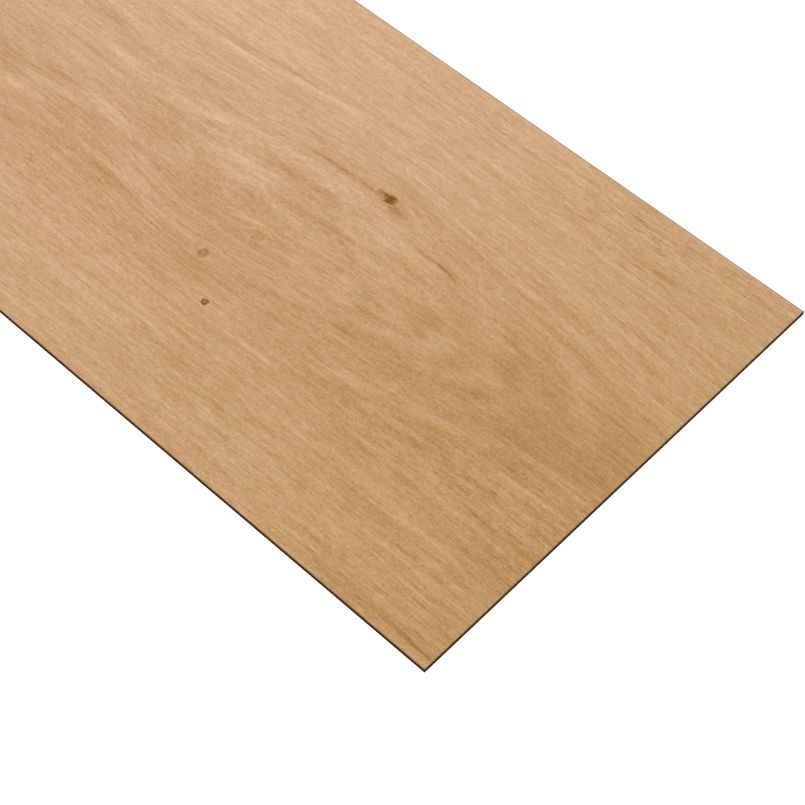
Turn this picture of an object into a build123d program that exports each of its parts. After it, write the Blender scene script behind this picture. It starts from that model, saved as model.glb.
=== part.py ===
from build123d import *

import os

# Luxury vinyl plank: one flat strip of filled vinyl with a wood print, laid by
# gluing its back down. Millimetres.
# The origin is at the middle of the flat back. The length runs along X and the
# width along Y, and the printed face looks up, +Z.

# Overall size
plank_length = 1219.2
plank_width = 203.2
plank_thickness = 2.0

# Soft arris between the printed face and the cut sides
arris_radius = 0.3

with BuildPart() as vinyl_plank:
    # The strip is cut square on all four sides, so that planks butt together,
    # and its back is flat for the adhesive
    with BuildSketch(Plane.XY):
        Rectangle(plank_length, plank_width)
    extrude(amount=plank_thickness)

    # The printed face rolls over into the sides all the way round
    printed_face = vinyl_plank.faces().sort_by(Axis.Z)[-1]
    fillet(printed_face.edges(), radius=arris_radius)

vinyl_plank.part.label = "vinyl_plank"

os.makedirs("parts", exist_ok=True)
export_step(vinyl_plank.part, "parts/vinyl_plank.step")
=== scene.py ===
import math
from collections import namedtuple

import bpy
import numpy as np
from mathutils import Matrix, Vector


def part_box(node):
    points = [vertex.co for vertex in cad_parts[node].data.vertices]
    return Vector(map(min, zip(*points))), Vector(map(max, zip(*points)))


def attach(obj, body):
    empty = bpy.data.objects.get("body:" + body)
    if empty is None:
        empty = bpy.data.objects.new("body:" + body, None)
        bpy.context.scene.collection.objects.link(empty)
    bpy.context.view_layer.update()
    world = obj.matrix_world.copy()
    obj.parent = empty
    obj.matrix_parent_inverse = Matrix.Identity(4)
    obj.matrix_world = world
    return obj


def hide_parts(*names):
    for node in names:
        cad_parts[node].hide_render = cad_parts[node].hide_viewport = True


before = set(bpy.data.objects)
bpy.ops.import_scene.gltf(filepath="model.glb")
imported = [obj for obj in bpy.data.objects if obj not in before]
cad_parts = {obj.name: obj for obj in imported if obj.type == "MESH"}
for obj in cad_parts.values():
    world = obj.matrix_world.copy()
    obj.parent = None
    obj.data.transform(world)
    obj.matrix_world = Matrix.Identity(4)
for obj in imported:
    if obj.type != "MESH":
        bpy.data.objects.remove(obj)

bl_info = {
    "name": "Luxury vinyl plank",
    "version": (1, 0, 0),
    "blender": (4, 5, 0),
    "location": "View3D > Sidebar > Plank",
    "description": "Dresses a glue-down vinyl plank with its oak print, dark core and plain back",
    "category": "Object",
}

MM = 0.001
CAD_LOW, CAD_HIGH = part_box("vinyl_plank")
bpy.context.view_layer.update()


def srgb(red, green, blue):
    """The linear colour of three screen values from 0 to 255, by the sRGB curve."""
    screen = np.array([red, green, blue]) / 255
    linear = np.where(screen <= 0.04045, screen / 12.92, ((screen + 0.055) / 1.055) ** 2.4)
    return tuple(float(value) for value in linear)


# The figure of the print is laid out in millimetres: x from the photographed end, so x is
# negative along the plank, and y from the near long side. Tones are in steps of the
# screen's 0 to 255 scale, lighter or darker than the plain wood.

# The heart line is where the board was cut nearest to the middle of the tree. Each row
# is a place along the plank, where the heart line crosses it, and how deep the heart lies.
HEART_LINE = [
    (-1260, 96, 64),
    (-1120, 104, 47),
    (-1010, 110, 30),
    (-900, 104, 9),
    (-800, 98, 3),
    (-700, 104, 17),
    (-600, 112, 33),
    (-520, 108, 26),
    (-440, 98, 12),
    (-340, 97, 8),
    (-305, 100, 13),
    (-262, 103, 22),
    (-222, 101, 14),
    (-170, 100, 3),
    (-120, 102, 22),
    (-86, 102, 33),
    (-63, 102, 40),
    (-26, 110, 49),
    (0, 113, 55),
    (60, 116, 66),
]

# Away from this line along the plank the heart line's turns and the heart's depth fade out
PLANK_MIDDLE = 102.0
FADE_OF_FIGURE = 62.0
FADE_OF_DEPTH = 80.0

# How far from the end the photograph shows the plank, and the length over which that fades
PHOTOGRAPHED = 350.0
PHOTOGRAPH_FADE = 15.0

# How the fibres bend round the figure: place, half length and half width of each bend,
# and how far it lifts them across the plank
Bend = namedtuple("Bend", "x y half_length half_width rise")
BENDS = [Bend(*row) for row in [
    (-152, 138, 72, 25, 14),
    (-60, 138, 50, 28, 5),
    (-258, 80, 45, 22, 2),
    (-195, 80, 45, 24, -5),
    (-10, 86, 95, 26, 14),
    (-40, 24, 170, 32, 5),
    (-450, 128, 90, 26, 5),
    (-600, 76, 80, 28, -7),
    (-640, 136, 80, 26, 6),
    (-800, 140, 90, 28, 9),
    (-820, 66, 90, 26, -8),
    (-1040, 130, 80, 26, 6),
    (-1060, 70, 90, 28, -6),
]]

# Partly painted light: the tone rises slowly away from the photographed end, and then darkens again.
# Over the photographed part the rise stands in for light falling off along the plank, and further on it
# is the wood's own slow change: x and tone
LENGTH_TONE_AND_PAINTED_LIGHT = [
    (-1220, 0),
    (-1000, -3),
    (-800, 5),
    (-600, 1),
    (-450, 6),
    (-330, 8),
    (-200, 6),
    (-100, 2),
    (0, -3),
]

# It is darker over its heart than towards the far side, and the lightening towards the far side is
# partly painted sheen, standing in for the gloss of the lamp beyond it: y and tone
WIDTH_TONE_AND_PAINTED_SHEEN = [
    (0, -1),
    (28, -1),
    (65, -5),
    (96, -5),
    (116, -2),
    (140, 3.5),
    (165, 7),
    (203, 9),
]

# Lines and bands that stand out in the figure, as brush strokes through a few
# points each
Stroke = namedtuple("Stroke", "tone half_width points")
STROKES = [Stroke(*row) for row in [
    # the long arch over the oval
    (-8, 1.1, [(-274, 151), (-250, 153), (-234, 155.3), (-216, 158), (-196, 160.5)]),
    (-4, 0.8, [(-205, 160), (-190, 162), (-172, 164.6), (-152, 165.5), (-132, 164.5), (-112, 161)]),
    (9, 1.1, [(-277, 147.5), (-258, 149), (-240, 151.5), (-220, 155), (-200, 158), (-178, 161),
              (-158, 162)]),
    (-3, 0.9, [(-262, 143), (-238, 145), (-215, 147.5), (-190, 150), (-165, 154)]),
    (-4, 0.8, [(-250, 139), (-215, 142), (-185, 145), (-160, 147), (-140, 146)]),
    (4, 0.9, [(-255, 137.5), (-225, 140), (-195, 143.5), (-170, 148)]),
    (7, 1.2, [(-172, 151), (-150, 152), (-130, 149.5), (-110, 145.5), (-92, 143.5), (-74, 140.5)]),
    (7, 1.2, [(-84, 141), (-62, 138.2), (-45, 135.3), (-28, 131.2), (-12, 125.5)]),
    (-3, 1.4, [(-140, 143), (-118, 141), (-96, 138.5), (-74, 135.5), (-52, 131), (-32, 126)]),
    (-6, 1.1, [(-146, 153), (-136, 152.3), (-122, 151.2)]),
    (-4, 2.5, [(-146, 147), (-136, 144), (-124, 141)]),
    (-4, 2.0, [(-118, 136), (-106, 133), (-92, 131)]),
    (-5, 1.2, [(-90, 129.8), (-80, 127)]),
    (7, 1.1, [(-101, 131), (-94, 129)]),
    # the dark line that runs through the largest knot
    (-7, 1.8, [(-256, 132.5), (-246, 133), (-236, 132.5)]),
    (-4, 1.3, [(-236, 136), (-228, 136), (-215, 137)]),
    (-9, 1.2, [(-244, 152.5), (-238, 152.7)]),
    (4, 0.9, [(-222, 133.2), (-208, 134.2), (-190, 135)]),
    (-12, 1.2, [(-192, 140), (-185, 140.5), (-176, 141)]),
    (-11, 1.4, [(-188, 133.4), (-176, 134.8), (-165, 135.4), (-153, 135.6)]),
    (-9, 1.3, [(-148, 135), (-141, 134), (-134, 133.4)]),
    (-7, 1.8, [(-148, 145), (-142, 142.5), (-130, 139.5)]),
    (-4, 1.0, [(-134, 133), (-122, 131.5), (-112, 129)]),
    (-12, 0.7, [(-126, 125.8), (-118, 126.6), (-110, 126.8), (-101, 126)]),
    (-7, 1.5, [(-104, 123.6), (-99, 121.5), (-95, 118.5)]),
    # the pale field under it
    (8, 1.6, [(-182, 128), (-170, 129), (-158, 130.5), (-146, 130.5), (-134, 128)]),
    (7, 3.0, [(-178, 127), (-164, 128), (-150, 126.5)]),
    (10, 4.2, [(-147, 122), (-138, 121.5), (-126, 120)]),
    (6, 1.6, [(-134, 126), (-122, 123), (-112, 122)]),
    (6, 2.0, [(-152, 128.5), (-143, 127), (-134, 125)]),
    (4, 2.4, [(-168, 127.5), (-158, 128)]),
    (5, 1.6, [(-148, 115.5), (-141, 114)]),
    (-4, 1.5, [(-166, 143), (-150, 143.5)]),
    # the pale band and the dark line that open out from the left
    (-4, 0.9, [(-236, 124.5), (-222, 126.5)]),
    (-9, 0.9, [(-205, 127.8), (-201, 127.8)]),
    (6, 0.9, [(-225, 128), (-212, 130), (-200, 131)]),
    (-5, 1.0, [(-250, 122.5), (-236, 123)]),
    (8, 1.5, [(-236, 116), (-228, 118), (-222, 120.5)]),
    (7, 2.0, [(-322, 112), (-300, 115.5), (-280, 116.5), (-255, 116.5), (-238, 118)]),
    (8, 1.6, [(-244, 117), (-228, 120), (-212, 124), (-196, 126.6), (-176, 128.5)]),
    (-5, 2.2, [(-258, 108.5), (-246, 109.5), (-234, 113)]),
    (-9, 1.6, [(-228, 115), (-220, 118), (-212, 119.5)]),
    (-8, 1.2, [(-206, 120), (-194, 120.5), (-178, 120.6)]),
    (-5, 1.5, [(-182, 119), (-165, 117), (-146, 117.5)]),
    (-9, 1.9, [(-178, 109.6), (-168, 109), (-152, 110.3), (-140, 109)]),
    # the rings inside the oval
    (8, 2.2, [(-222, 91), (-220.5, 101), (-214, 108.5), (-205, 112), (-192, 114)]),
    (7, 3.2, [(-207, 111.5), (-198, 112.5), (-188, 113)]),
    (7, 2.2, [(-190, 113), (-185, 110), (-184, 106.5)]),
    (7, 2.0, [(-204, 105), (-196, 106), (-190, 107)]),
    (5, 2.0, [(-186, 103.5), (-174, 104.5), (-164, 102.5)]),
    (-6, 1.3, [(-219, 88.5), (-215, 88.5)]),
    (-7, 1.2, [(-213, 74.8), (-204, 74.5)]),
    (5, 1.2, [(-226, 66), (-218, 67)]),
    (5, 2.2, [(-178, 74.5), (-168, 77), (-160, 78)]),
    (5, 1.5, [(-246, 105.5), (-236, 106)]),
    (-5, 3.0, [(-208, 96), (-202, 90), (-214, 89)]),
    (8, 1.4, [(-193, 89.5), (-183, 92), (-172, 93.6), (-164, 91.5)]),
    (5, 2.2, [(-163, 101), (-156, 98.5), (-153, 95)]),
    (-4, 1.4, [(-196, 85.5), (-180, 86), (-168, 87), (-160, 91)]),
    (6, 5.0, [(-131, 112), (-127, 107), (-121, 101.5)]),
    (5, 2.6, [(-134, 99), (-131, 95.5)]),
    (-10, 2.4, [(-117.5, 99), (-119, 95)]),
    (8, 2.8, [(-114, 96), (-107, 97.5), (-100, 99.5)]),
    (6, 1.5, [(-127, 88), (-121, 91)]),
    (-6, 1.4, [(-97, 103), (-95.5, 99.5), (-98, 96)]),
    (7, 2.0, [(-110, 114), (-104, 111.5), (-100, 109)]),
    (5, 1.6, [(-104, 105), (-97, 105)]),
    (6, 1.6, [(-95, 102), (-93, 98)]),
    (-7, 2.4, [(-136, 105.5), (-132, 103.5)]),
    (-6, 1.5, [(-119, 90), (-114, 91)]),
    (-7, 1.6, [(-103, 109), (-98, 107), (-92, 103)]),
    (7, 2.0, [(-83, 102.5), (-90, 96.5), (-99, 92), (-109, 88)]),
    (5, 3.4, [(-97, 127), (-87, 124.5), (-79, 119), (-73, 112), (-70, 105)]),
    (-4, 2.6, [(-92, 118), (-87, 112), (-84, 107)]),
    (-5, 3.2, [(-78, 101), (-86, 95), (-95, 90)]),
    # the dark bands under the tips
    (-7, 1.9, [(-90, 89.5), (-98, 86), (-107, 82.3), (-118, 79.5)]),
    (5, 1.4, [(-122, 84.5), (-112, 86), (-104, 87.5)]),
    (8, 1.4, [(-122, 81), (-135, 80), (-150, 77.5), (-163, 75)]),
    (-4, 2.2, [(-104, 80), (-122, 77), (-140, 75), (-160, 73)]),
    (-5, 1.0, [(-98, 69.6), (-86, 70.6), (-74, 71.6)]),
    (7, 1.6, [(-63, 101), (-69, 97.5), (-77, 92.5), (-86, 88)]),
    (7, 1.8, [(-68, 105), (-65, 101), (-61, 98.5)]),
    (-6, 1.0, [(-71, 94.2), (-62, 94.8)]),
    (6, 1.0, [(-84, 88), (-76, 89), (-70, 89.5)]),
    (-7, 1.3, [(-48, 101), (-58, 96), (-66, 93), (-74, 89), (-84, 84.5), (-94, 80.5)]),
    # the dark turn at the tip and what lies outside it
    (-10, 1.4, [(-72.5, 124), (-70, 122), (-66, 118.5)]),
    (-7, 1.6, [(-67, 119), (-62, 115.5), (-58, 112)]),
    (-11, 2.8, [(-62, 110), (-57, 107.5), (-51, 106.5)]),
    (-7, 1.6, [(-57, 104), (-51, 103)]),
    (-6, 2.6, [(-58, 117), (-56, 111)]),
    (-3, 3.0, [(-60, 127), (-54, 123.5), (-49, 119)]),
    (-7, 2.6, [(-45, 113), (-42, 108.5)]),
    (-5, 2.0, [(-49, 102), (-44, 100.5), (-39, 101)]),
    (6, 2.2, [(-60, 131), (-48, 127.5), (-38, 122.5), (-30, 117), (-26, 111)]),
    (-5, 2.0, [(-46, 121), (-40, 117)]),
    (-5, 3.4, [(-34, 128), (-24, 122), (-17, 115), (-14, 106)]),
    (-4, 4.4, [(-28, 96), (-34, 90), (-46, 87)]),
    (-8, 2.4, [(-8, 96), (-1, 95)]),
    (5, 1.6, [(-28, 91), (-20, 91.5)]),
    (5, 1.8, [(-36, 85.5), (-20, 86.5), (-2, 87.5)]),
    (-9, 1.0, [(-40, 76.6), (-29, 78.6), (-18, 79.7), (-4, 81)]),
    (6, 1.5, [(-4, 76.5), (-20, 74), (-36, 72.5)]),
    (6, 2.0, [(-46, 78.5), (-60, 76), (-76, 72), (-92, 69)]),
    (4, 3.6, [(-52, 81), (-44, 80), (-34, 80)]),
    (6, 1.3, [(-92, 62.5), (-76, 64), (-62, 65.5)]),
    (4, 1.2, [(-92, 68), (-78, 69.8), (-66, 71)]),
    (5, 1.6, [(-50, 67.5), (-42, 68.5)]),
    (-5, 1.5, [(-32, 70), (-26, 70.5)]),
    (6, 1.7, [(-80, 69.5), (-96, 66.5), (-112, 63.5), (-122, 63)]),
    (-8, 0.9, [(-14, 73.6), (0, 73.6)]),
    # the low dome at the left
    (-7, 3.4, [(-320, 89), (-308, 86), (-298, 83)]),
    (5, 1.6, [(-302, 77), (-294, 79)]),
    (-5, 1.6, [(-284, 93.5), (-274, 94.5)]),
    (-7, 1.4, [(-299, 93.5), (-286, 93), (-272, 95)]),
    (8, 2.0, [(-303, 76.5), (-293, 79), (-284, 80)]),
    (8, 1.7, [(-296, 83.5), (-286, 87), (-272, 90.5), (-256, 92.5), (-243, 90)]),
    (-6, 1.8, [(-284, 84.5), (-268, 86.5), (-252, 86.5), (-242, 85)]),
    (-8, 1.4, [(-276, 77.5), (-262, 78.6), (-246, 78.4), (-236, 77)]),
    (8, 1.1, [(-286, 73), (-270, 74.5), (-250, 75.2), (-230, 74.4), (-210, 72), (-190, 71)]),
    (7, 1.2, [(-246, 80.5), (-235, 81), (-224, 78), (-208, 75.5)]),
    (5, 1.3, [(-241, 87.5), (-230, 86.5)]),
    (-5, 4.5, [(-286, 66), (-262, 69), (-238, 69.5), (-214, 66)]),
    (-5, 1.0, [(-290, 63.5), (-280, 64), (-270, 65)]),
    (-5, 2.6, [(-194, 67), (-184, 65.5), (-174, 66)]),
    # fields to the left of the oval
    (-5, 6.5, [(-248, 102), (-236, 101.5), (-226, 100)]),
    (5, 3.6, [(-312, 106), (-292, 104.5), (-276, 104)]),
    (6, 3.0, [(-270, 96), (-258, 95.5), (-250, 94)]),
    (4, 3.4, [(-268, 105), (-256, 104), (-248, 102)]),
    (6, 3.2, [(-294, 103), (-284, 102.5), (-272, 103.5)]),
    (5, 2.0, [(-262, 104.5), (-250, 104.5), (-243, 105.5)]),
    (6, 1.2, [(-326, 111), (-312, 110), (-298, 109)]),
    (5, 2.5, [(-340, 102), (-326, 102)]),
    (-6, 1.3, [(-308, 127.5), (-296, 128), (-284, 129)]),
    (-4, 2.2, [(-278, 141), (-266, 141)]),
    (-5, 1.2, [(-256, 142), (-246, 141)]),
    # plain wood above
    (5, 1.2, [(-260, 160), (-240, 160.5), (-222, 161.5)]),
    (4, 1.5, [(-214, 162), (-205, 163.5)]),
    (8, 0.8, [(-150, 167), (-138, 166.5), (-126, 165.3), (-110, 162.8)]),
    (-4, 1.2, [(-76, 145.5), (-58, 142.5), (-44, 141)]),
    (5, 1.0, [(-90, 149.5), (-82, 148)]),
    (-6, 1.2, [(-40, 147.5), (-30, 145.5), (-22, 144)]),
    (-5, 1.0, [(-46, 155), (-36, 154), (-26, 152.5), (-10, 151.5), (0, 151.5)]),
    (5, 0.8, [(-16, 154.5), (0, 154.8)]),
    (5, 0.9, [(-50, 161.5), (-40, 161)]),
    (-4, 1.2, [(-222, 176.5), (-216, 176.5)]),
    (-4, 1.2, [(-222, 197), (-206, 197)]),
    (4, 0.8, [(-196, 192.5), (-180, 193.5), (-166, 193), (-150, 191.5)]),
    (-6, 0.9, [(-127, 190.5), (-121, 190.5)]),
    (-6, 1.1, [(-60, 189), (-52, 187.5)]),
    (5, 1.6, [(-54, 185.5), (-44, 186.5), (-36, 185.5)]),
    (-6, 1.2, [(-62, 180.5), (-52, 180), (-44, 180)]),
    (-5, 1.2, [(-54, 195.5), (-44, 195.5), (-30, 196)]),
    (-7, 1.1, [(-18, 196.5), (-4, 196)]),
    (4, 4.5, [(-268, 165), (-240, 165), (-206, 166)]),
    (4, 2.2, [(-98, 174.5), (-72, 174.5), (-44, 173)]),
    (5, 1.2, [(-248, 183.5), (-232, 183.5), (-214, 182)]),
    (-5, 0.9, [(-44, 152.5), (-36, 152.6), (-26, 152)]),
    (-14, 1.1, [(-18, 138), (-10, 137), (0, 136.8)]),
    (-4, 1.6, [(-88, 199.5), (-66, 200), (-46, 199.5)]),
    # plain wood below
    (-5, 3.0, [(-186, 63), (-178, 60), (-170, 56.5)]),
    (6, 0.9, [(-160, 61.5), (-153, 63.5), (-146, 64.5)]),
    (4, 1.2, [(-150, 43), (-136, 45.5), (-124, 45)]),
    (-5, 0.9, [(-230, 33), (-220, 34)]),
    (-4, 0.9, [(-158, 38), (-146, 39.5)]),
    (5, 2.0, [(-126, 12.5), (-114, 14), (-102, 13.5)]),
    (-4, 1.0, [(-220, 10), (-212, 11.5)]),
    (-6, 1.3, [(-120, 65.7), (-110, 65.5)]),
    (-4, 0.9, [(-222, 62), (-206, 62.5)]),
    (-5, 0.9, [(-66, 53), (-52, 53), (-40, 53.5)]),
    (-4, 0.9, [(-88, 43.5), (-66, 44), (-40, 44.5), (-16, 44)]),
    (4, 1.2, [(-66, 41), (-50, 42), (-30, 41.5)]),
    (7, 1.5, [(-46, 38), (-34, 37), (-22, 36.5), (-14, 36)]),
    (-5, 0.8, [(-26, 39.5), (-12, 38.7), (0, 38.8)]),
    (4, 1.6, [(-50, 25), (-36, 25.5), (-20, 24.5)]),
    (-4, 0.8, [(-48, 23), (-34, 22), (-10, 21)]),
    (6, 1.5, [(-60, 17), (-54, 18.5), (-44, 18.5)]),
    (-6, 0.8, [(-36, 15.5), (-18, 16.5), (0, 15.5)]),
    (-5, 0.8, [(-72, 10), (-56, 11), (-36, 11)]),
    (-8, 1.1, [(-63, 6.5), (-54, 5.5)]),
    (-7, 0.9, [(-92, 7), (-84, 7)]),
    (-13, 0.9, [(-32, 54.6), (-24, 54.4), (-16, 54)]),
    (-7, 1.1, [(-14, 55), (0, 55)]),
    (-5, 1.0, [(-150, 55), (-140, 55.4), (-130, 55.2)]),
    (-5, 0.9, [(-110, 53), (-104, 52.8), (-98, 53)]),
    (-9, 0.6, [(-62, 5.6), (-40, 4.8), (-18, 4.9), (0, 4.6)]),
    (-8, 1.0, [(-122, 8.4), (-110, 7.7), (-100, 7.6)]),
    (-4, 0.9, [(-40, 12), (-24, 11.5), (-8, 11.8)]),
    # the figure beyond the photograph's edge
    (8, 2.2, [(-452, 96), (-420, 108), (-392, 113), (-352, 114), (-318, 112)]),
    (-7, 1.8, [(-470, 92), (-440, 84), (-404, 80), (-366, 82), (-330, 88)]),
    (-9, 2.6, [(-612, 128), (-580, 118), (-566, 106), (-578, 96), (-606, 88)]),
    (8, 2.6, [(-640, 124), (-604, 120), (-590, 108), (-600, 98), (-628, 92)]),
    (-14, 1.0, [(-760, 128), (-742, 129), (-722, 128)]),
    (8, 2.4, [(-880, 112), (-846, 118), (-800, 119), (-758, 114), (-736, 104)]),
    (-8, 2.0, [(-896, 92), (-852, 84), (-800, 80), (-752, 86), (-722, 96)]),
    (7, 3.4, [(-836, 98), (-806, 100), (-776, 98)]),
    (-9, 2.4, [(-1040, 126), (-1010, 118), (-998, 108), (-1008, 98), (-1036, 90)]),
    (7, 2.4, [(-1072, 122), (-1036, 114), (-1026, 106), (-1040, 98), (-1070, 92)]),
    (-10, 0.9, [(-1136, 60), (-1112, 59), (-1088, 60)]),
]]

# All strokes are this much stronger than their rows say. Lengths along the plank count for
# less by the stretch, and no paint lands further from a stroke than the reach, in half
# widths.
STROKE_GAIN = 1.5
STROKE_STRETCH = 2.2
STROKE_REACH = 2.6

# Knots: place, half length and half width, tone, what share of it is only in the rim, and
# how ragged the outline is
Knot = namedtuple("Knot", "x y half_length half_width tone rim ragged")
KNOTS = [Knot(*row) for row in [
    (-146.6, 136.6, 3.4, 3.0, -67, 0.0, 1.7),
    (-151.2, 137.0, 3.2, 1.9, -30, 0.0, 1.6),
    (-143.2, 134.0, 3.8, 2.6, -9, 0.0, 1.5),
    (-179.4, 69.9, 2.3, 2.9, -38, 0.45, 0.2),
    (-162.4, 54.5, 1.7, 1.8, -90, 0.42, 1.1),
    (-171.4, 87.8, 1.1, 0.9, -26, 0.0, 0.5),
    (-169.6, 89.8, 2.4, 2.2, -13, 0.9, 0.9),
    (-446.0, 58.0, 3.1, 2.4, -44, 0.3, 0.6),
    (-741.0, 131.0, 4.4, 3.0, -80, 0.1, 1.4),
    (-812.0, 66.0, 2.2, 2.0, -46, 0.5, 0.5),
    (-1104.0, 62.0, 3.6, 2.6, -64, 0.2, 1.0),
]]

# How much of the way to a knot the fibres give as they part round it, and how far along
# and across the plank, in its half lengths and half widths
KNOT_PARTING = 0.7
PARTING_LENGTH = 3
PARTING_WIDTH = 2

# Distances from the middle of a knot, as shares of its half sizes: where its tone starts to
# fade, where its rim starts and is fullest, and where both have faded
KNOT_INSIDE = 0.2
RIM_INSIDE = 0.3
RIM_MIDDLE = 0.65
KNOT_OUTSIDE = 1.1

# Thin threads, most of them dark: the middle's place, half length and half width, slope
# across the plank, and tone
Thread = namedtuple("Thread", "x y half_length half_width slope tone")
THREADS = [Thread(*row) for row in [
    (-166.0, 135.0, 12, 0.9, 0.035, -10),
    (-154.0, 135.7, 5.0, 0.6, 0.02, -16),
    (-140.5, 134.4, 5.0, 1.1, -0.28, -9),
    (-115.5, 126.4, 9.0, 0.8, 0.0, -12),
    (-107.0, 125.9, 5.5, 0.36, -0.12, -30),
    (-100.0, 125.0, 4.0, 0.5, 0.0, -10),
    (-7.0, 4.5, 12, 0.7, -0.06, -22),
    (-38.0, 6.6, 18, 0.6, -0.04, -10),
    (-71.0, 194.9, 4.6, 0.34, 0.03, -36),
    (-71.2, 193.8, 4.2, 0.3, 0.05, -24),
    (-63.0, 194.1, 3.8, 0.3, 0.1, -26),
    (-71.1, 192.1, 3.2, 0.3, 0.0, -28),
    (-60.8, 192.2, 4.2, 0.3, -0.03, -24),
    (-69.0, 190.1, 2.6, 0.3, 0.1, -30),
    (-57.0, 188.7, 2.0, 0.3, 0.0, -32),
    (-55.3, 187.3, 2.0, 0.3, 0.0, -32),
    (-80.2, 191.7, 3.8, 0.32, -0.06, -28),
    (-80.2, 193.5, 2.5, 0.3, 0.0, -24),
    (-80.0, 192.6, 2.7, 0.34, 0.0, 22),
    (-70.4, 193.0, 3.8, 0.34, 0.0, 16),
    (-61.2, 193.1, 3.8, 0.36, 0.0, 22),
    (-57.7, 176.8, 3.2, 0.34, 0.1, -26),
    (-86.4, 180.8, 3.8, 0.34, 0.15, -26),
    (-33.5, 193.2, 4.0, 0.4, 0.0, 18),
    (-743.0, 130.0, 16, 0.7, 0.03, -20),
    (-1096.0, 61.0, 14, 0.6, -0.02, -18),
]]

# Fields of the print, each with its place, half length and half width, and an amount
Field = namedtuple("Field", "x y half_length half_width amount")

# Groups of pores
PORE_GROUPS = [Field(*row) for row in [
    (-52, 188, 60, 9, 1.0),
    (-20, 197, 40, 4, 1.2),
    (-196, 186, 45, 9, 0.5),
    (-150, 143, 26, 5, 0.6),
    (-30, 156, 34, 6, 0.6),
    (-22, 62, 32, 9, 0.7),
    (-90, 52, 60, 8, 0.5),
    (-40, 8, 60, 6, 0.8),
    (-150, 10, 50, 5, 0.4),
    (-230, 66, 40, 7, 0.5),
    (-470, 172, 80, 14, 0.9),
    (-640, 40, 90, 12, 0.9),
    (-850, 170, 90, 12, 0.8),
    (-1050, 24, 90, 12, 1.0),
]]

# Where the rings turn, the long streaks fade and the rings show more
CALM_FIELDS = [Field(*row) for row in [
    (-72, 100, 48, 20, 0.5),
    (-205, 98, 30, 14, 0.25),
    (-590, 108, 50, 20, 0.4),
    (-1015, 108, 50, 20, 0.4),
]]

# Rosier wood, and below 0 yellower wood
ROSY_FIELDS = [Field(*row) for row in [
    (-225, 66, 82, 30, 0.3),
    (-60, 18, 190, 34, -0.16),
    (-20, 176, 90, 40, -0.16),
    (-640, 60, 110, 40, 0.2),
    (-900, 140, 120, 40, 0.2),
]]

# The darkest wood, that of the knots, up to the palest: tone and screen colour
PALETTE = [
    (-105, (88, 30, 0)),
    (-85, (114, 52, 0)),
    (-55, (134, 84, 3)),
    (-30, (157, 112, 50)),
    (-12, (178, 133, 79)),
    (0, (189, 146, 99)),
    (12, (200, 157, 114)),
    (24, (210, 170, 129)),
    (36, (219, 179, 140)),
]

# The streaks of the print: length along the fibres and width across them in millimetres,
# and strength in tone steps
Streaks = namedtuple("Streaks", "length width strength")
STREAKS = [Streaks(*row) for row in [
    (0.45, 0.4, 24),
    (0.7, 0.9, 19),
    (2, 0.5, 22),
    (6, 0.6, 20),
    (6, 1.2, 9),
    (18, 0.6, 10),
    (18, 1.2, 19),
    (18, 2.2, 7),
    (18, 4.8, 4),
    (55, 0.6, 6),
    (55, 1.2, 6),
    (55, 2.4, 8),
    (55, 19, 6),
    (160, 0.6, 5),
    (160, 2.4, 9),
    (160, 19, 6),
]]

# Streaks of this length and more fade in the calm fields
LONG_STREAK = 6

# Hues laid over the wood, from rosy to yellow: share of the hue noise, and what the
# wood's red, green and blue are multiplied by
HUES = [
    (0.0, (0.985, 0.95, 0.97)),
    (0.3, (0.98, 0.975, 1.005)),
    (0.5, (0.97, 0.985, 1.0)),
    (0.7, (0.96, 0.995, 0.985)),
    (0.9, (0.95, 1.0, 1.005)),
]

# The cut sides from the back up: share of the thickness, which colour, and how strong
CUT_LAYERS = [
    (0.0, "core", 0.7),
    (0.1, "core", 1.0),
    (0.62, "core", 0.8),
    (0.66, "core", 1.1),
    (0.8, "core", 1.0),
    (0.84, "cut_film", 1.0),
    (1.0, "cut_film", 1.3),
]

# Noise that shapes the figure: its height, its size along each of the two directions that
# it runs in, in millimetres, and its seed
Ripple = namedtuple("Ripple", "height first second seed")
FINE_RINGS = Ripple(1.0, 2.4, 70, 3)
BROAD_RINGS = Ripple(2.2, 6.5, 150, 4)
LONG_JAGS = Ripple(3.6, 30, 1.8, 11)
SHORT_JAGS = Ripple(2.2, 9, 1.5, 12)
SWAY = Ripple(0.7, 24, 7, 13)
GRIT = Ripple(0.5, 16, 1.7, 14)
CLOUD = Ripple(2.0, 90, 40, 15)
PORE_DRIFT = Ripple(0.3, 80, 13, 21)

# Tone of the fine rings, and what a calm field adds to it
RING_HEIGHT = 2.4
CALM_RING_HEIGHT = 7

# Half width of the bell about the heart line in which the rings are strongest
RING_REACH = 50


def through_points(at, places, values):
    """A smooth curve through the given points: on each stretch the cubic whose slopes at
    its two ends are those between the neighbouring points."""
    places = np.asarray(places, float)
    values = np.asarray(values, float)
    slopes = np.gradient(values, places)
    index = np.clip(np.searchsorted(places, at) - 1, 0, len(places) - 2)
    width = places[index + 1] - places[index]
    t = np.clip((at - places[index]) / width, 0, 1)
    from_value = (2 * t**3 - 3 * t**2 + 1) * values[index]
    to_value = (3 * t**2 - 2 * t**3) * values[index + 1]
    from_slope = (t**3 - 2 * t**2 + t) * width * slopes[index]
    to_slope = (t**3 - t**2) * width * slopes[index + 1]
    return from_value + to_value + from_slope + to_slope


def hump(distance):
    """A bell of height 1: e to the minus distance squared."""
    return np.exp(-distance * distance)


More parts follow.
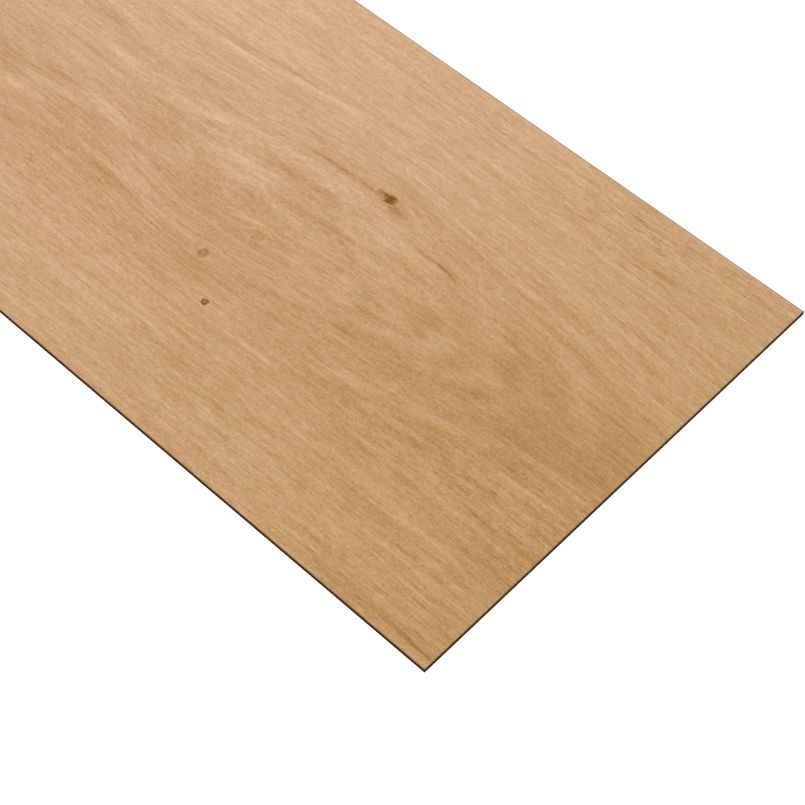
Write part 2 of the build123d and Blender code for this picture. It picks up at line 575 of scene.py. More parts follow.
def value_noise(u, v, seed):
    """Noise from -1 to 1: a random value at each whole-number point of the (u, v) plane,
    joined by smooth steps in u and in v."""
    size = 512
    table = np.random.default_rng(seed).uniform(-1, 1, (size, size))
    column, row = np.floor(u).astype(int), np.floor(v).astype(int)
    s, t = u - column, v - row
    s, t = s * s * (3 - 2 * s), t * t * (3 - 2 * t)

    def corner(right, up):
        return table[(column + right) % size, (row + up) % size]

    low = corner(0, 0) * (1 - s) + corner(1, 0) * s
    high = corner(0, 1) * (1 - s) + corner(1, 1) * s
    return low * (1 - t) + high * t


def ripple(first, second, kind):
    """Value noise of two lengths in millimetres, each over its size, times its height."""
    return kind.height * value_noise(first / kind.first, second / kind.second, kind.seed)


def bells(x, y, fields):
    """The sum of the fields' amounts, each times a bell of the distance from its place."""
    return sum(field.amount * hump(np.hypot((x - field.x) / field.half_length,
                                            (y - field.y) / field.half_width)) for field in fields)


def growth_field(x, y):
    """How far each point lies from the middle of the tree, in millimetres, and from the
    heart line: the first is the root of the distance to the heart line squared plus the
    heart's depth squared. Far from the heart line both fade out, so the grain is straight
    along the plank's sides."""
    places, heart_at, depth = np.array(HEART_LINE, float).T
    fade = hump((y - PLANK_MIDDLE) / FADE_OF_FIGURE)
    heart = PLANK_MIDDLE + (through_points(x, places, heart_at) - PLANK_MIDDLE) * fade
    away = y - heart
    deep = through_points(x, places, depth) / (1 + (away / FADE_OF_DEPTH) ** 4)
    return np.sqrt(away**2 + deep**2), away


def fibre_line(x, y):
    """Which fibre runs through each point, in millimetres across the plank, a value that
    is constant along a fibre: y less each bend, whose rise fades by a bell along and a
    bell across, and less most of the way to any knot close by, which spreads the fibres
    round it."""
    line = y.copy()
    for bend in BENDS:
        beside = hump((y - bend.y) / bend.half_width)
        line -= bend.rise * hump((x - bend.x) / bend.half_length) * beside
    for knot in KNOTS:
        beside = hump((y - knot.y) / (PARTING_WIDTH * knot.half_width))
        along = hump((x - knot.x) / (PARTING_LENGTH * knot.half_length))
        line -= KNOT_PARTING * (y - knot.y) * along * beside
    return line


def past_photograph(x):
    """A smooth step along the plank, from 0 where the photograph shows it to 1 past that,
    where fewer strokes are laid: 1 over 1 plus e to the distance from the step."""
    return 1 / (1 + np.exp((x + PHOTOGRAPHED) / PHOTOGRAPH_FADE))


def ring_tone(growth, away, x, calm):
    """Light and dark rings: fine and broad noise of the growth field, which changes slowly
    along the plank and is strongest within a bell of the heart line. The fine rings are
    stronger in the calm fields, and all are twice as strong past the photograph."""
    fine = (RING_HEIGHT + CALM_RING_HEIGHT * calm) * ripple(growth, x, FINE_RINGS)
    broad = ripple(growth, x, BROAD_RINGS)
    return (fine + broad) * (0.5 + 0.5 * hump(away / RING_REACH)) * (1 + past_photograph(x))


def smooth_path(points, samples=8):
    """Places on the smooth curve through the points, so many to each stretch of it."""
    number = np.arange(len(points))
    at = np.linspace(0, number[-1], samples * number[-1] + 1)
    return np.stack([through_points(at, number, values) for values in zip(*points)], -1)


def brush(x, y, stroke):
    """How much of the stroke's paint lands on each point: e to the minus square of the
    distance to its path over its half width, times the root of a sine that fades its two
    ends. Distances along the plank count for less, so its ends run out along the grain."""
    stretch = np.array([1 / STROKE_STRETCH, 1])
    path = smooth_path(stroke.points) * stretch
    place = np.stack([x, y], -1) * stretch
    reach = STROKE_REACH * stroke.half_width
    near = ((place > path.min(0) - reach) & (place < path.max(0) + reach)).all(-1)
    start, run = path[:-1], np.diff(path, axis=0)
    beside = place[near][:, None] - start
    share = np.clip((beside * run).sum(-1) / (run**2).sum(-1), 0, 1)
    gap = np.linalg.norm(beside - share[..., None] * run, axis=-1)
    nearest = gap.argmin(1)
    row = np.arange(len(gap))
    along = (nearest + share[row, nearest]) / len(run)
    paint = np.zeros(len(x))
    ends = np.sqrt(np.sin(np.pi * (0.05 + 0.9 * along)))
    paint[near] = hump(gap[row, nearest] / stroke.half_width) * ends
    return paint


def figure_tone(x, y):
    """The tone of the figure: the rings plus every stroke's paint. The places are first
    shifted along the plank by noise that is far finer across the grain than along it,
    which gives the turns of the rings their jagged tips. Finer noise, the grit, makes the
    paint uneven."""
    jag = ripple(x, y, LONG_JAGS) + ripple(x, y, SHORT_JAGS)
    sway = ripple(x, y, SWAY)
    x, y = x + jag, y + sway
    growth, away = growth_field(x, y)
    rings = ring_tone(growth, away, x, bells(x, y, CALM_FIELDS))
    grit = 0.8 + ripple(x, y, GRIT)
    painted = sum(stroke.tone * brush(x, y, stroke) for stroke in STROKES)
    cloud = ripple(x, y, CLOUD) * past_photograph(x)
    # Painted light, in part: the slow tone across and along the plank holds painted sheen towards the
    # far side and a painted falloff of light along the photographed end
    broad = through_points(y, *zip(*WIDTH_TONE_AND_PAINTED_SHEEN)) + through_points(x, *zip(*LENGTH_TONE_AND_PAINTED_LIGHT))
    return broad + cloud + rings + STROKE_GAIN * grit * painted


def pore_amount(x, y):
    """How many pores show: a few everywhere, slow noise, and a bell for each group."""
    few, most = 0.18, 1.4
    return np.clip(few + ripple(x, y, PORE_DRIFT) + bells(x, y, PORE_GROUPS), 0, most)


class PLANK_PG_shape(bpy.types.PropertyGroup):
    """Sizes of the plank's surface, whose outer size comes from the frame."""

    arris_radius: bpy.props.FloatProperty(
        name="Arris radius", description="Radius between the printed face and the cut sides",
        default=0.3 * MM, min=0, unit="LENGTH", subtype="DISTANCE", precision=5)
    arris_steps: bpy.props.IntProperty(
        name="Arris steps", description="Faces round the arris", default=4, min=1)
    fine_stretch: bpy.props.FloatProperty(
        name="Fine stretch", description="Length at the photographed end with the finer grid",
        default=390 * MM, unit="LENGTH", subtype="DISTANCE")
    fine_step: bpy.props.FloatProperty(
        name="Fine step", description="Spacing of the grid along the fine stretch",
        default=1.8 * MM, unit="LENGTH", subtype="DISTANCE", precision=5)
    coarse_step: bpy.props.FloatProperty(
        name="Coarse step", description="Spacing of the grid along the rest of the plank",
        default=8.0 * MM, unit="LENGTH", subtype="DISTANCE", precision=5)
    cross_step: bpy.props.FloatProperty(
        name="Cross step", description="Spacing of the grid across the plank",
        default=0.72 * MM, unit="LENGTH", subtype="DISTANCE", precision=5)


class PLANK_PG_print(bpy.types.PropertyGroup):
    """Colours and finish of the oak print, the core and the back."""

    fibre_contrast: bpy.props.FloatProperty(
        name="Fibre contrast", description="Strength of the fine streaks", default=1.0, min=0)
    pore_darkness: bpy.props.FloatProperty(
        name="Pore darkness", description="How much darker a pore is, in tone steps",
        default=16.0, min=0)
    roughness: bpy.props.FloatProperty(
        name="Roughness", description="Roughness of the matte wear layer", default=0.41,
        min=0, max=1, subtype="FACTOR")
    gloss: bpy.props.FloatProperty(
        name="Gloss", description="Specular level of the matte wear layer", default=0.31,
        min=0, max=1, subtype="FACTOR")
    # Painted shade: a faint grey line on the face along the far side, standing in for shade beside the
    # arris
    edge_painted_shade: bpy.props.FloatVectorProperty(
        name="Edge line", description="Faint grey line along the far side, where the wear layer ends",
        subtype="COLOR", size=3, default=srgb(142, 130, 120))
    arris: bpy.props.FloatVectorProperty(
        name="Arris", description="Stained arris between the print and the cut sides",
        subtype="COLOR", size=3, default=srgb(82, 50, 12))
    core: bpy.props.FloatVectorProperty(
        name="Core", description="Filled vinyl seen on the cut sides", subtype="COLOR",
        size=3, default=srgb(62, 37, 7))
    cut_film: bpy.props.FloatVectorProperty(
        name="Cut film", description="Printed film and wear layer where the cut shows them",
        subtype="COLOR", size=3, default=srgb(72, 43, 12))
    back: bpy.props.FloatVectorProperty(
        name="Back", description="Plain backing on the underside", subtype="COLOR",
        size=3, default=srgb(104, 99, 93))


class PLANK_PG_studio(bpy.types.PropertyGroup):
    """Camera and light."""

    azimuth: bpy.props.FloatProperty(
        name="Azimuth", description="Camera's turn about the vertical; 0 looks along +Y",
        default=math.radians(43.61), subtype="ANGLE")
    elevation: bpy.props.FloatProperty(
        name="Elevation", description="Camera's angle above the horizon",
        default=math.radians(55.57), subtype="ANGLE")
    distance: bpy.props.FloatProperty(
        name="Distance", description="From the camera to the point it aims at",
        default=766.2 * MM, unit="LENGTH", subtype="DISTANCE")
    lens: bpy.props.FloatProperty(
        name="Lens", description="Focal length in millimetres on a 36 mm sensor", default=96.2)
    aim_from_end: bpy.props.FloatProperty(
        name="Aim from end", description="From the photographed end to the point aimed at",
        default=78.7 * MM, unit="LENGTH", subtype="DISTANCE")
    aim_from_side: bpy.props.FloatProperty(
        name="Aim from side", description="From the near long side to the point aimed at",
        default=72.1 * MM, unit="LENGTH", subtype="DISTANCE")
    room_light: bpy.props.FloatProperty(
        name="Room light", description="Strength of the even light from all round", default=0.56)
    key_power: bpy.props.FloatProperty(
        name="Key power", description="Power of the large soft lamp above the camera", default=25.7)
    sheen_power: bpy.props.FloatProperty(
        name="Sheen power", description="Power of the soft lamp beyond the plank's far end",
        default=7.0)


class Wiring:
    """Adds nodes to a material's tree and joins them."""

    def __init__(self, tree):
        self.tree = tree
        tree.nodes.clear()

    def node(self, kind, inputs=None, **settings):
        """Adds a node; inputs maps a socket's name or number to a value or another socket."""
        made = self.tree.nodes.new(kind)
        for name, value in settings.items():
            setattr(made, name, value)
        for name, value in (inputs or {}).items():
            self.join(made.inputs[name], value)
        return made

    def join(self, socket, value):
        """Links a socket to another one, or sets it to a plain value."""
        if isinstance(value, bpy.types.NodeSocket):
            self.tree.links.new(value, socket)
        else:
            socket.default_value = value

    def attribute(self, name, output="Fac"):
        """What the mesh stores at its points under a name."""
        return self.node("ShaderNodeAttribute", attribute_name=name).outputs[output]

    def math(self, operation, first, second=0.0, third=0.0):
        """One sum, product or other operation on plain values or sockets."""
        made = self.node("ShaderNodeMath", {0: first, 1: second, 2: third}, operation=operation)
        return made.outputs[0]

    def total(self, *terms):
        """The sum of the terms."""
        result = terms[0]
        for term in terms[1:]:
            result = self.math("ADD", result, term)
        return result

    def vector(self, operation, first, second):
        """One sum or product of two vectors."""
        return self.node("ShaderNodeVectorMath", {0: first, 1: second}, operation=operation).outputs[0]

    def dot(self, first, second):
        """The dot product of two vectors."""
        made = self.node("ShaderNodeVectorMath", {0: first, 1: second}, operation="DOT_PRODUCT")
        return made.outputs["Value"]

    def noise(self, place, length, width, detail=0.0, roughness=0.5, offset=0.0):
        """Noise from 0 to 1 about 0.5, whose grain is length along x and width along y."""
        stretched = self.vector("MULTIPLY", place, (1 / length, 1 / width, 0.0))
        moved = self.vector("ADD", stretched, (offset, 0.37 * offset, offset))
        made = self.node("ShaderNodeTexNoise", {
            "Vector": moved, "Scale": 1.0, "Detail": detail, "Roughness": roughness})
        return made.outputs["Fac"]

    def swing(self, noise, height):
        """A noise about 0.5 made to swing about 0, times a height."""
        centred = self.math("SUBTRACT", noise, 0.5)
        return self.math("MULTIPLY", centred, height)

    def step(self, value, low, high, to_low=0.0, to_high=1.0):
        """A smooth step from to_low to to_high as value goes from low to high."""
        made = self.node("ShaderNodeMapRange", {
            "Value": value, "From Min": low, "From Max": high, "To Min": to_low, "To Max": to_high},
            interpolation_type="SMOOTHSTEP")
        return made.outputs["Result"]

    def mix(self, factor, first, second, blend="MIX"):
        """The first colour towards the second by the factor, or with MULTIPLY towards their
        product."""
        made = self.node("ShaderNodeMix", {"Factor": factor, "A": first, "B": second},
                         data_type="RGBA", blend_type=blend)
        return made.outputs["Result"]

    def bump(self, height, distance, strength=1.0, invert=False):
        """The normal of a relief in which a height of 1 stands for the distance."""
        made = self.node("ShaderNodeBump", {
            "Height": height, "Distance": distance, "Strength": strength}, invert=invert)
        return made.outputs[0]

    def surface(self, colour, roughness, normal, specular=0.5):
        """Ends a material in a principled shader."""
        shader = self.node("ShaderNodeBsdfPrincipled", {
            "Base Color": colour, "Roughness": roughness, "Specular IOR Level": specular,
            "Normal": normal})
        self.node("ShaderNodeOutputMaterial", {"Surface": shader.outputs[0]})

    def ramp(self, factor, stops):
        """A colour ramp through (place, linear colour) stops."""
        made = self.node("ShaderNodeValToRGB", {0: factor})
        elements = made.color_ramp.elements
        while len(elements) < len(stops):
            elements.new(0.5)
        for element, (place, colour) in zip(elements, stops):
            element.position = place
            element.color = (*colour, 1)
        return made.outputs["Color"]


def steps_between(start, stop, step):
    """Evenly spaced places from start to stop, as near to step apart as a whole number of
    them allows."""
    count = max(1, round(abs(stop - start) / step))
    return np.linspace(start, stop, count + 1)


def arris_drop(inset, radius):
    """How far the face has dropped at a distance in from the edge: the gap between the
    face and a quarter circle of that radius."""
    short = np.clip(radius - inset, 0, radius)
    return radius - np.sqrt(radius**2 - short**2)


class PLANK_OT_printed_plank(bpy.types.Operator):
    """Builds the plank's whole surface and gives it the print, the core and the back"""

    bl_idname = "plank.printed_plank"
    bl_label = "Printed plank"

    def execute(self, context):
        shape = context.scene.plank_shape
        finish = context.scene.plank_print
        mesh = plank_mesh(shape)
        piece = bpy.data.objects.new("printed_plank", mesh)
        context.scene.collection.objects.link(piece)
        mesh.materials.append(oak_print_material(finish))
        mesh.materials.append(core_material(finish))
        mesh.materials.append(back_material(finish))
        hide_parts("vinyl_plank")
        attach(piece, "root")
        return {"FINISHED"}


def plank_mesh(shape):
    """The closed surface of the plank. The face is a grid over the plank's length and
    width whose height is the plank's thickness less the arris's drop, taken from the
    nearer end or side. The sides run straight down from the grid's rim to the back."""
    radius, steps = shape.arris_radius, shape.arris_steps
    low, high = np.array(CAD_LOW), np.array(CAD_HIGH)
    angles = np.linspace(0, math.pi / 2, steps + 1)
    inset = radius * (1 - np.cos(angles))
    split = high[0] - shape.fine_stretch
    coarse = steps_between(low[0] + radius, split, shape.coarse_step)
    fine = steps_between(split, high[0] - radius, shape.fine_step)
    along = np.concatenate([low[0] + inset[:-1], coarse, fine[1:], (high[0] - inset[:-1])[::-1]])
    inner = steps_between(low[1] + radius, high[1] - radius, shape.cross_step)
    across = np.concatenate([low[1] + inset[:-1], inner, (high[1] - inset[:-1])[::-1]])
    columns, rows = len(along), len(across)

    x, y = np.meshgrid(along, across, indexing="ij")
    from_end = np.minimum(x - low[0], high[0] - x)
    from_side = np.minimum(y - low[1], high[1] - y)
    drop = np.maximum(arris_drop(from_end, radius), arris_drop(from_side, radius))
    face_points = np.stack([x, y, high[2] - drop], -1).reshape(-1, 3)

    number = np.arange(columns * rows).reshape(columns, rows)
    rim = np.concatenate([number[:-1, 0], number[-1, :-1], number[:0:-1, -1], number[0, :0:-1]])
    foot_points = face_points[rim] * (1, 1, 0) + (0, 0, low[2])
    foot = columns * rows + np.arange(len(rim))
    points = np.concatenate([face_points, foot_points])

    quads = np.stack([number[:-1, :-1], number[1:, :-1], number[1:, 1:], number[:-1, 1:]], -1)
    quads = quads.reshape(-1, 4)
    sides = np.stack([rim, foot, np.roll(foot, -1), np.roll(rim, -1)], -1)
    # the back is cut into strips that join the two long sides' feet
    near = foot[:columns]
    far = foot[columns + rows - 2:2 * columns + rows - 2][::-1]
    strips = np.stack([near[1:-2], far[1:-2], far[2:-1], near[2:-1]], -1)
    first_end = np.concatenate([foot[-(rows - 1):], near[:2], far[1:2]])
    last_end = np.concatenate([near[-2:-1], foot[columns - 1:columns + rows - 1], far[-2:-1]])
    faces = quads.tolist() + sides.tolist() + strips.tolist()
    faces += [first_end[::-1].tolist(), last_end[::-1].tolist()]

    mesh = bpy.data.meshes.new("printed_plank")
    mesh.from_pydata(points.tolist(), [], faces)
    slots = np.full(len(faces), 2, np.int32)
    slots[:len(quads)] = 0
    slots[len(quads):len(quads) + len(sides)] = 1
    mesh.polygons.foreach_set("material_index", slots)
    mesh.polygons.foreach_set("use_smooth", np.ones(len(faces), bool))
    sharp_from = math.radians(40)
    mesh.set_sharp_from_angle(angle=sharp_from)
    parts = np.repeat(np.arange(6), [len(quads), columns - 1, rows - 1, columns - 1, rows - 1,
                                     len(strips) + 2])
    add_layout(mesh, points, parts)
    add_print(mesh, points)
    mesh.update()
    return mesh


def add_layout(mesh, points, parts):
    """Unrolls the surface onto a square, in one strip for each part: the face, the near
    side, the photographed end, the far side, the other end and the back. Along the
    square runs x, or y on the ends; up it runs y, or z on the sides and ends. The strips
    are as high as their part's detail needs, and not to one scale."""
    strip_low = np.array([0.29, 0.004, 0.016, 0.028, 0.040, 0.055])
    strip_high = np.array([0.998, 0.012, 0.024, 0.036, 0.048, 0.275])
    margin = 0.002
    corner_of = np.empty(len(mesh.loops), np.int32)
    mesh.loops.foreach_get("vertex_index", corner_of)
    corners = np.empty(len(mesh.polygons), np.int32)
    mesh.polygons.foreach_get("loop_total", corners)
    part = np.repeat(parts, corners)
    share = (points[corner_of] - CAD_LOW) / (CAD_HIGH - CAD_LOW)
    on_end = (part == 2) | (part == 4)
    on_face_or_back = (part == 0) | (part == 5)
    along = np.where(on_end, share[:, 1], share[:, 0])
    up = np.where(on_face_or_back, share[:, 1], share[:, 2])
    square = np.stack([margin + (1 - 2 * margin) * along,
                       strip_low[part] + (strip_high - strip_low)[part] * up], -1)
    layout = mesh.uv_layers.new(name="OFBake")
    layout.data.foreach_set("uv", square.astype(np.float32).ravel())


def add_print(mesh, points):
    """Stores on the mesh what the print's material reads: where each point lies along the
    plank and across its fibres, in millimetres, then the tone of the figure, the amount
    of pores, how calm the long streaks are and how rosy the wood is."""
    x = (points[:, 0] - CAD_HIGH.x) / MM
    y = (points[:, 1] - CAD_LOW.y) / MM
    grain = np.stack([x, fibre_line(x, y), np.zeros(len(x))], -1)
    layer = mesh.attributes.new("grain", "FLOAT_VECTOR", "POINT")
    layer.data.foreach_set("vector", grain.astype(np.float32).ravel())
    tones = {
        "figure": figure_tone(x, y),
        "pores": pore_amount(x, y),
        "calm": bells(x, y, CALM_FIELDS),
        "rosy": bells(x, y, ROSY_FIELDS),
    }
    for name, values in tones.items():
        layer = mesh.attributes.new(name, "FLOAT", "POINT")
        layer.data.foreach_set("value", values.astype(np.float32))


def new_material(name):
    """An empty node material and the wiring that fills it."""
    material = bpy.data.materials.new(name)
    material.use_nodes = True
    return material, Wiring(material.node_tree)


def fibre_tone(wire, grain):
    """The sum of the streaks, from a fine mottle to threads that run on for most of the
    plank's length. The long ones fade in the calm fields."""
    short, long = [], []
    for kind in STREAKS:
        apart = kind.length + 3 * kind.width
        noise = wire.noise(grain, kind.length, kind.width, offset=apart)
        kept = long if kind.length >= LONG_STREAK else short
        kept.append(wire.swing(noise, kind.strength))
    shown = wire.math("SUBTRACT", 1.0, wire.attribute("calm"))
    return wire.math("MULTIPLY_ADD", wire.total(*long), shown, wire.total(*short))


def pore_tone(wire, grain, darkness):
    """Short dark dashes where a noise of their length and width peaks, as strong as the
    pores attribute asks."""
    peak_from, peak_full = 0.62, 0.76
    noise = wire.noise(grain, length=6.5, width=0.42, offset=31.0)
    dashes = wire.step(noise, peak_from, peak_full)
    return wire.math("MULTIPLY", wire.math("MULTIPLY", dashes, wire.attribute("pores")), -darkness)


def knot_tone(wire, place):
    """The knots: in each, a tone that fades from its middle, torn along the grain by fine
    noise, and a rim."""
    tears = wire.noise(place, length=2.0, width=0.8, detail=1, roughness=0.6, offset=3.3)
    terms = []
    for knot in KNOTS:
        shifted = wire.vector("SUBTRACT", place, (knot.x, knot.y, 0))
        scaled = wire.vector("MULTIPLY", shifted, (1 / knot.half_length, 1 / knot.half_width, 0))
        distance = wire.node("ShaderNodeVectorMath", {0: scaled}, operation="LENGTH").outputs["Value"]
        uneven = wire.math("ADD", distance, wire.swing(tears, knot.ragged))
        middle = wire.step(uneven, KNOT_INSIDE, KNOT_OUTSIDE, 1 - knot.rim, 0.0)
        rising = wire.step(uneven, RIM_INSIDE, RIM_MIDDLE)
        falling = wire.step(uneven, RIM_MIDDLE, KNOT_OUTSIDE, 1.0, 0.0)
        rim = wire.math("MULTIPLY", rising, falling)
        both = wire.math("MULTIPLY_ADD", rim, knot.rim, middle)
        terms.append(wire.math("MULTIPLY", both, knot.tone))
    return wire.total(*terms)


def thread_tone(wire, place):
    """The thin threads: each a bell of the distance from its middle line, times a bell of
    the distance along it, so e to the minus sum of their squares."""
    tone = 0.0
    for thread in THREADS:
        shifted = wire.vector("SUBTRACT", place, (thread.x, thread.y, 0))
        along = wire.dot(shifted, (1 / thread.half_length, 0, 0))
        beside = wire.dot(shifted, (-thread.slope / thread.half_width, 1 / thread.half_width, 0))
        squares = wire.math("MULTIPLY_ADD", beside, beside, wire.math("MULTIPLY", along, along))
        paint = wire.math("POWER", 1 / math.e, squares)
        tone = wire.math("MULTIPLY_ADD", paint, thread.tone, tone)
    return tone


def wood_colour(wire, tone, grain):
    """The palette's colour at a tone, times a hue that noise and the rosy attribute choose."""
    lowest, highest = PALETTE[0][0], PALETTE[-1][0]
    share = wire.node("ShaderNodeMapRange", {
        "Value": tone, "From Min": lowest, "From Max": highest}).outputs["Result"]
    stops = [((step - lowest) / (highest - lowest), srgb(*colour)) for step, colour in PALETTE]
    wood = wire.ramp(share, stops)
    patches = wire.noise(grain, length=9, width=5, detail=2, roughness=0.6, offset=44.0)
    hue = wire.ramp(wire.math("SUBTRACT", patches, wire.attribute("rosy")), HUES)
    return wire.mix(1.0, wood, hue, "MULTIPLY")


def oak_print_material(finish):
    """The oak print under a matte wear layer: the tones of the figure, the streaks, the
    pores, the knots and the threads added up, and read as a colour of the wood. A faint
    grey line of painted shade runs along the far side, and the arris is stained. Only the
    streaks and the pores are felt, as a very shallow relief, and the dark knots are dull."""
    material, wire = new_material("oak_print")
    grain = wire.attribute("grain", "Vector")
    parts = wire.node("ShaderNodeSeparateXYZ", {
        0: wire.node("ShaderNodeTexCoord").outputs["Object"]}).outputs
    place = wire.node("ShaderNodeCombineXYZ", {
        0: wire.math("MULTIPLY", wire.math("SUBTRACT", parts["X"], CAD_HIGH.x), 1 / MM),
        1: wire.math("MULTIPLY", wire.math("SUBTRACT", parts["Y"], CAD_LOW.y), 1 / MM)}).outputs[0]
    fibres = wire.math("MULTIPLY", fibre_tone(wire, grain), finish.fibre_contrast)
    pores = pore_tone(wire, grain, finish.pore_darkness)
    tone = wire.total(wire.attribute("figure"), fibres, pores, knot_tone(wire, place),
                      thread_tone(wire, place))
    wood = wood_colour(wire, tone, grain)

    # Painted shade: a faint grey line on the face next to the far side's arris
    edge_shade_full, edge_shade_gone, edge_shade_share = 0.45 * MM, 0.9 * MM, 0.55
    from_far_side = wire.math("SUBTRACT", CAD_HIGH.y, parts["Y"])
    on_edge_shade = wire.step(from_far_side, edge_shade_full, edge_shade_gone, edge_shade_share, 0.0)
    with_edge_shade = wire.mix(on_edge_shade, wood, (*finish.edge_painted_shade, 1))
    stain_from, stain_full = 0.0005 * MM, 0.02 * MM
    dropped = wire.math("SUBTRACT", CAD_HIGH.z, parts["Z"])
    on_arris = wire.step(dropped, stain_from, stain_full)
    colour = wire.mix(on_arris, with_edge_shade, (*finish.arris, 1))

    relief_of_tone = 0.0012 * MM
    relief = wire.bump(wire.math("ADD", fibres, pores), relief_of_tone)
    knot_tone_from, knot_tone_to, knot_roughness = -60.0, -12.0, 0.75
    roughness = wire.step(tone, knot_tone_from, knot_tone_to, knot_roughness, finish.roughness)
    wire.surface(colour, roughness, relief, specular=finish.gloss)
    return material


def core_material(finish):
    """The cut sides: dark filled vinyl with pale specks of filler and faint marks of the
    cut, under the printed film and the wear layer. The layers are a ramp over the height
    above the back as a share of the plank's thickness."""
    material, wire = new_material("dark_core")
    place = wire.node("ShaderNodeTexCoord").outputs["Object"]
    height = wire.node("ShaderNodeSeparateXYZ", {0: place}).outputs["Z"]
    risen = wire.math("SUBTRACT", height, CAD_LOW.z)
    layers = wire.ramp(wire.math("DIVIDE", risen, CAD_HIGH.z - CAD_LOW.z), [
        (share, tuple(strength * part for part in getattr(finish, layer)))
        for share, layer, strength in CUT_LAYERS])
    speck_size = 0.35 * MM
    specks = wire.node("ShaderNodeTexNoise", {
        "Vector": place, "Scale": 1 / speck_size, "Detail": 2.0, "Roughness": 0.6}).outputs["Fac"]
    marks_per_length, marks_per_height = 0.12 / MM, 6 / MM
    stretched = wire.vector("MULTIPLY", place, (marks_per_length, marks_per_length, marks_per_height))
    cut_marks = wire.node("ShaderNodeTexNoise", {
        "Vector": stretched, "Scale": 1.0, "Detail": 1.0}).outputs["Fac"]
    speck_contrast, mark_contrast = 0.9, 0.6
    shade = wire.total(1.0, wire.swing(specks, speck_contrast), wire.swing(cut_marks, mark_contrast))
    shaded = wire.mix(1.0, layers, shade, "MULTIPLY")
    relief_height, relief_strength = 0.02 * MM, 0.6
    relief = wire.bump(wire.math("ADD", specks, cut_marks), relief_height, relief_strength)
    smoothest, roughest = 0.6, 0.8
    roughness = wire.step(specks, 0.3, 0.7, smoothest, roughest)
    wire.surface(shaded, roughness, relief, specular=0.0)
    return material


def back_material(finish):
    """The backing of the underside: dull, with a fine pebbled grain that grips the
    adhesive, faint bands across the rollers' run, and soft lengthwise rubbing. The hollows between the
    pebbles are darkened with painted shade."""
    material, wire = new_material("plain_back")
    place = wire.vector("MULTIPLY", wire.node("ShaderNodeTexCoord").outputs["Object"], (1 / MM,) * 3)
    pebble_size = 1.3
    pebbles = wire.node("ShaderNodeTexVoronoi", {
        "Vector": place, "Scale": 1 / pebble_size, "Randomness": 0.9}).outputs["Distance"]
    cloud = wire.noise(place, length=46, width=34, detail=3, roughness=0.55)
    rubbed = wire.noise(place, length=140, width=6, offset=17.0)
    bands = wire.noise(place, length=14, width=400, detail=1, offset=29.0)
    # Painted shade: the colour darkens away from each pebble's top into the hollows of its relief
    top_of_pebble, painted_shade_in_hollows = 1.06, -0.16
    cloud_contrast, rubbed_contrast, band_contrast = 0.26, 0.1, 0.1
    shade = wire.total(
        top_of_pebble, wire.math("MULTIPLY", pebbles, painted_shade_in_hollows), wire.swing(cloud, cloud_contrast),
        wire.swing(rubbed, rubbed_contrast), wire.swing(bands, band_contrast))
    shaded = wire.mix(1.0, (*finish.back, 1), shade, "MULTIPLY")
    pebble_height, pebble_strength = 0.08 * MM, 0.6
    relief = wire.bump(pebbles, pebble_height, pebble_strength, invert=True)
    smoothest, roughest = 0.62, 0.78
    wire.surface(shaded, wire.step(cloud, 0.3, 0.7, smoothest, roughest), relief)
    return material


class PLANK_OT_stage(bpy.types.Operator):
    """Adds the floor, the lamps, the world and the camera"""

    bl_idname = "plank.stage"
    bl_label = "Stage"

    def execute(self, context):
        studio = context.scene.plank_studio
        make_floor(context)
        make_world(context, studio)
        make_lamps(context, studio)
        make_camera(context, studio)
        context.scene.view_settings.view_transform = "Standard"
        return {"FINISHED"}


def seen_directly(wire):
    """1 for camera, glossy and transmission rays, and 0 for the rest."""
    path = wire.node("ShaderNodeLightPath").outputs
    seen = wire.math("MAXIMUM", path["Is Camera Ray"], path["Is Glossy Ray"])
    return wire.math("MAXIMUM", seen, path["Is Transmission Ray"])


def make_floor(context):
    """A wide level floor that looks white and still takes the plank's shadow. It lies a
    hair under the back and is clear from below, so that the back can be looked at."""
    half, hair = 6.0, 0.05 * MM
    grey, glow_strength = 0.6, 0.9
    corners = [(-half, -half, -hair), (half, -half, -hair), (half, half, -hair), (-half, half, -hair)]
    mesh = bpy.data.meshes.new("floor")
    mesh.from_pydata(corners, [], [(0, 1, 2, 3)])
    floor = bpy.data.objects.new("floor", mesh)
    context.scene.collection.objects.link(floor)
    material, wire = new_material("white_floor")
    plain = wire.node("ShaderNodeBsdfDiffuse", {"Color": (grey, grey, grey, 1)})
    glow = wire.node("ShaderNodeEmission", {"Color": (1, 1, 1, 1), "Strength": glow_strength})
    both = wire.node("ShaderNodeAddShader", {0: plain.outputs[0], 1: glow.outputs[0]})
    mixed = wire.node("ShaderNodeMixShader", {
        0: seen_directly(wire), 1: plain.outputs[0], 2: both.outputs[0]})
    clear = wire.node("ShaderNodeBsdfTransparent")
    from_below = wire.node("ShaderNodeNewGeometry").outputs["Backfacing"]
    sided = wire.node("ShaderNodeMixShader", {
        0: from_below, 1: mixed.outputs[0], 2: clear.outputs[0]})
    wire.node("ShaderNodeOutputMaterial", {"Surface": sided.outputs[0]})
    mesh.materials.append(material)


def make_world(context, studio):
    """Even light from all round, and plain white where the world itself is seen, past the
    floor or in a gloss."""
    world = bpy.data.worlds.new("studio")
    world.use_nodes = True
    wire = Wiring(world.node_tree)
    room, white = (wire.node("ShaderNodeBackground", {"Color": (1, 1, 1, 1), "Strength": strength})
                   for strength in (studio.room_light, 1.0))
    mixed = wire.node("ShaderNodeMixShader", {
        0: seen_directly(wire), 1: room.outputs[0], 2: white.outputs[0]})
    wire.node("ShaderNodeOutputWorld", {"Surface": mixed.outputs[0]})
    context.scene.world = world


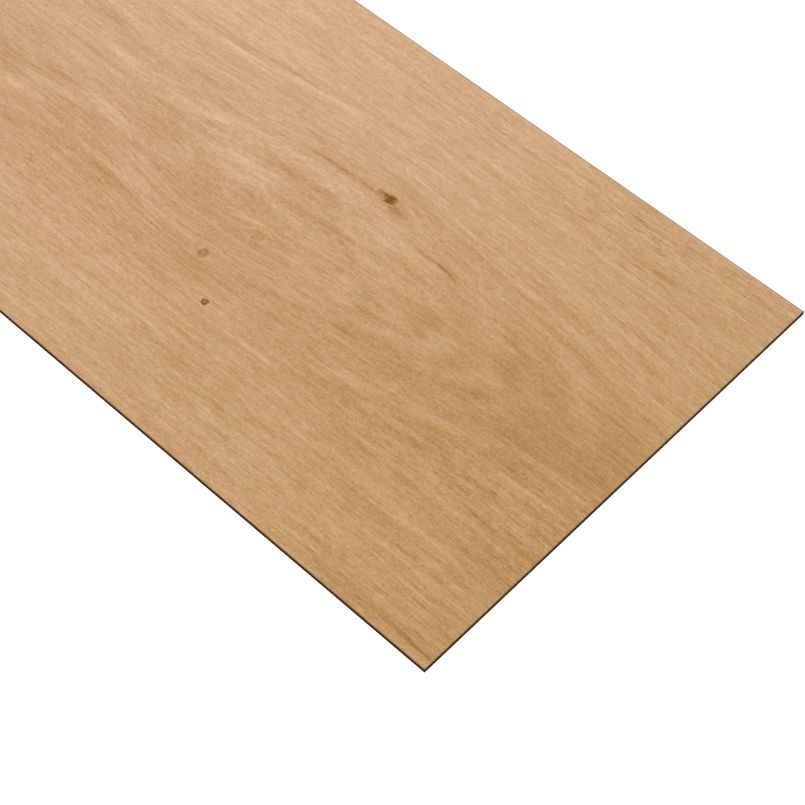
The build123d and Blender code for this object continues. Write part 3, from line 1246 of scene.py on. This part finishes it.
def add_lamp(context, name, place, aim, size, power):
    """A square soft lamp at a place, turned to its aim."""
    light = bpy.data.lights.new(name, "AREA")
    light.shape = "SQUARE"
    light.size = size
    light.energy = power
    lamp = bpy.data.objects.new(name, light)
    lamp.location = place
    lamp.rotation_euler = (Vector(aim) - Vector(place)).to_track_quat("-Z", "Y").to_euler()
    context.scene.collection.objects.link(lamp)


def make_lamps(context, studio):
    """One large lamp above the camera, and one beyond the far side that gives the sheen."""
    end = CAD_HIGH.x
    add_lamp(context, "above_camera", place=(end + 0.4, -1.0, 2.0), aim=(end - 0.2, 0, 0),
             size=1.6, power=studio.key_power)
    add_lamp(context, "far_sheen", place=(end - 1.3, 0.7, 1.1), aim=(end - 0.3, 0, 0),
             size=0.9, power=studio.sheen_power)


def make_camera(context, studio):
    """The camera of the photograph, with no roll and no shift."""
    aim = Vector((CAD_HIGH.x - studio.aim_from_end, CAD_LOW.y + studio.aim_from_side, CAD_HIGH.z))
    level = math.cos(studio.elevation)
    back = Vector((math.sin(studio.azimuth) * level, -math.cos(studio.azimuth) * level,
                   math.sin(studio.elevation)))
    data = bpy.data.cameras.new("camera")
    data.sensor_width = 36.0
    data.lens = studio.lens
    data.clip_start = 0.01
    data.clip_end = 50.0
    camera = bpy.data.objects.new("camera", data)
    camera.location = aim + back * studio.distance
    camera.rotation_euler = (-back).to_track_quat("-Z", "Y").to_euler()
    context.scene.collection.objects.link(camera)
    context.scene.camera = camera


class PLANK_PT_panel(bpy.types.Panel):
    """Lists the plank's sizes, colours and operators"""

    bl_idname = "PLANK_PT_panel"
    bl_label = "Vinyl plank"
    bl_space_type = "VIEW_3D"
    bl_region_type = "UI"
    bl_category = "Plank"

    def draw(self, context):
        for title, group in (("Shape", context.scene.plank_shape),
                             ("Print", context.scene.plank_print),
                             ("Studio", context.scene.plank_studio)):
            box = self.layout.box()
            box.label(text=title)
            for name in group.bl_rna.properties.keys():
                if name not in {"rna_type", "name"}:
                    box.prop(group, name)
        for operator in OPERATORS:
            self.layout.operator(operator.bl_idname)


OPERATORS = (PLANK_OT_printed_plank, PLANK_OT_stage)
GROUPS = {
    "plank_shape": PLANK_PG_shape,
    "plank_print": PLANK_PG_print,
    "plank_studio": PLANK_PG_studio,
}


def register():
    """Adds the properties, the operators and the panel."""
    for kind in (*GROUPS.values(), *OPERATORS, PLANK_PT_panel):
        bpy.utils.register_class(kind)
    for name, kind in GROUPS.items():
        setattr(bpy.types.Scene, name, bpy.props.PointerProperty(type=kind))


def unregister():
    """Takes them away again."""
    for name in GROUPS:
        delattr(bpy.types.Scene, name)
    for kind in (PLANK_PT_panel, *OPERATORS, *GROUPS.values()):
        bpy.utils.unregister_class(kind)


def main():
    """Makes the plank and its stage."""
    register()
    bpy.ops.plank.printed_plank()
    bpy.ops.plank.stage()


if __name__ == "__main__":
    main()
